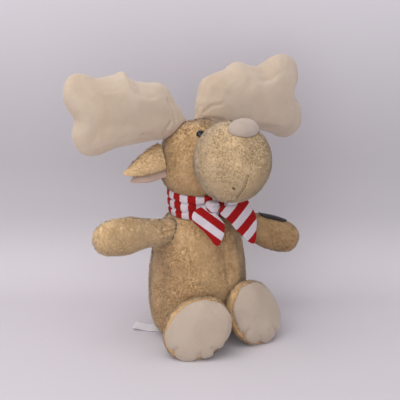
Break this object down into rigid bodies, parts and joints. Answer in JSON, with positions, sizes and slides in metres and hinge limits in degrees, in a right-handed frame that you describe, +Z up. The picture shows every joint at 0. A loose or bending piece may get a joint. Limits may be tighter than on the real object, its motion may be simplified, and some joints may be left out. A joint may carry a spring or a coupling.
{
  "type": "plush moose toy",
  "caption": "Sitting plush moose with puffy antlers, a round muzzle, paddle arms, round-soled feet and a striped scarf tied at the neck.",
  "frame": {"origin": "on the floor under the middle of the trunk, on the flat underside of its seat", "axes": "+Z up, the toy faces -Y and its right side is -X"},
  "size_m": [0.2211, 0.1163, 0.2205],
  "materials": {
    "tan_plush": "short curly plush pile",
    "muzzle_plush": "short curly plush pile, a little paler",
    "cream_cloth": "smooth brushed cloth",
    "antler_plush": "smooth short microplush",
    "ear_lining": "smooth brushed cloth",
    "striped_cotton": "thin woven cotton with red and white stripes",
    "filling": "polyester fibre",
    "pellet_cloth": "thin non-woven bag of plastic pellets",
    "black_plastic": "glossy",
    "black_satin": "satin ribbon",
    "white_satin": "satin ribbon"
  },
  "bodies": {
    "trunk": {"torso_cover": "tan_plush", "torso_stuffing": "filling", "pellet_bag": "pellet_cloth", "scarf_band": "striped_cotton", "bow_knot": "striped_cotton"},
    "head": {"head_cover": "tan_plush", "head_stuffing": "filling", "muzzle_cover": "muzzle_plush", "nose_patch": "cream_cloth", "right_eye": "black_plastic", "left_eye": "black_plastic", "right_eye_washer": "black_plastic", "left_eye_washer": "black_plastic"},
    "right_antler": {"right_antler_cover": "antler_plush", "right_antler_stuffing": "filling"},
    "left_antler": {"left_antler_cover": "antler_plush", "left_antler_stuffing": "filling"},
    "right_ear": {"right_ear": "tan_plush", "right_ear_lining": "ear_lining"},
    "left_ear": {"left_ear": "tan_plush", "left_ear_lining": "ear_lining"},
    "right_arm": {"right_arm_cover": "tan_plush", "right_arm_stuffing": "filling"},
    "left_arm": {"left_arm_cover": "tan_plush", "left_arm_stuffing": "filling", "arm_tag": "black_satin"},
    "right_leg": {"right_leg_cover": "tan_plush", "right_leg_stuffing": "filling", "right_sole": "cream_cloth"},
    "left_leg": {"left_leg_cover": "tan_plush", "left_leg_stuffing": "filling", "left_sole": "cream_cloth"},
    "right_bow_tail": {"right_bow_tail": "striped_cotton"},
    "left_bow_tail": {"left_bow_tail": "striped_cotton"},
    "care_label": {"care_label": "white_satin"}
  },
  "joints": [
    {"name": "head_turn", "type": "hinge", "parent": "trunk", "child": "head", "pos_m": [0, 0, 0.1105], "axis": [0, 0, 1], "range_deg": [-40, 40], "stiffness_Nm_per_rad": 0.06},
    {"name": "right_arm_raise", "type": "hinge", "parent": "trunk", "child": "right_arm", "pos_m": [-0.0295, 0, 0.0925], "axis": [0, 1, 0], "range_deg": [-12, 30], "stiffness_Nm_per_rad": 0.06},
    {"name": "left_arm_raise", "type": "hinge", "parent": "trunk", "child": "left_arm", "pos_m": [0.0295, 0, 0.0925], "axis": [0, -1, 0], "range_deg": [0, 42], "stiffness_Nm_per_rad": 0.06},
    {"name": "right_leg_splay", "type": "hinge", "parent": "trunk", "child": "right_leg", "pos_m": [-0.0215, -0.029, 0.0215], "axis": [0, 0, -1], "range_deg": [0, 12], "stiffness_Nm_per_rad": 0.06},
    {"name": "left_leg_splay", "type": "hinge", "parent": "trunk", "child": "left_leg", "pos_m": [0.0215, -0.029, 0.0215], "axis": [0, 0, 1], "range_deg": [0, 20], "stiffness_Nm_per_rad": 0.06},
    {"name": "right_antler_rock", "type": "hinge", "parent": "head", "child": "right_antler", "pos_m": [-0.0225, 0.009, 0.1665], "axis": [-0.7234, 0.2893, 0.6269], "range_deg": [-12, 12], "stiffness_Nm_per_rad": 0.06},
    {"name": "left_antler_rock", "type": "hinge", "parent": "head", "child": "left_antler", "pos_m": [0.0225, 0.009, 0.1685], "axis": [0.6945, 0.2778, 0.6637], "range_deg": [-12, 12], "stiffness_Nm_per_rad": 0.06},
    {"name": "right_ear_twist", "type": "hinge", "parent": "head", "child": "right_ear", "pos_m": [-0.026, 0.006, 0.154], "axis": [-0.9425, 0.2175, 0.2538], "range_deg": [-30, 30], "stiffness_Nm_per_rad": 0.006},
    {"name": "left_ear_twist", "type": "hinge", "parent": "head", "child": "left_ear", "pos_m": [0.026, 0.006, 0.154], "axis": [0.9425, 0.2175, 0.2538], "range_deg": [-30, 30], "stiffness_Nm_per_rad": 0.006},
    {"name": "right_tail_lift", "type": "hinge", "parent": "trunk", "child": "right_bow_tail", "pos_m": [-0.006, -0.028, 0.114], "axis": [-1, 0, 0], "range_deg": [0, 30]},
    {"name": "left_tail_lift", "type": "hinge", "parent": "trunk", "child": "left_bow_tail", "pos_m": [-0.006, -0.028, 0.114], "axis": [-1, 0, 0], "range_deg": [0, 30]},
    {"name": "label_lift", "type": "hinge", "parent": "trunk", "child": "care_label", "pos_m": [-0.02264, 0.0147, 0.0007], "axis": [0.7071, 0.7071, 0], "range_deg": [0, 30]}
  ]
}
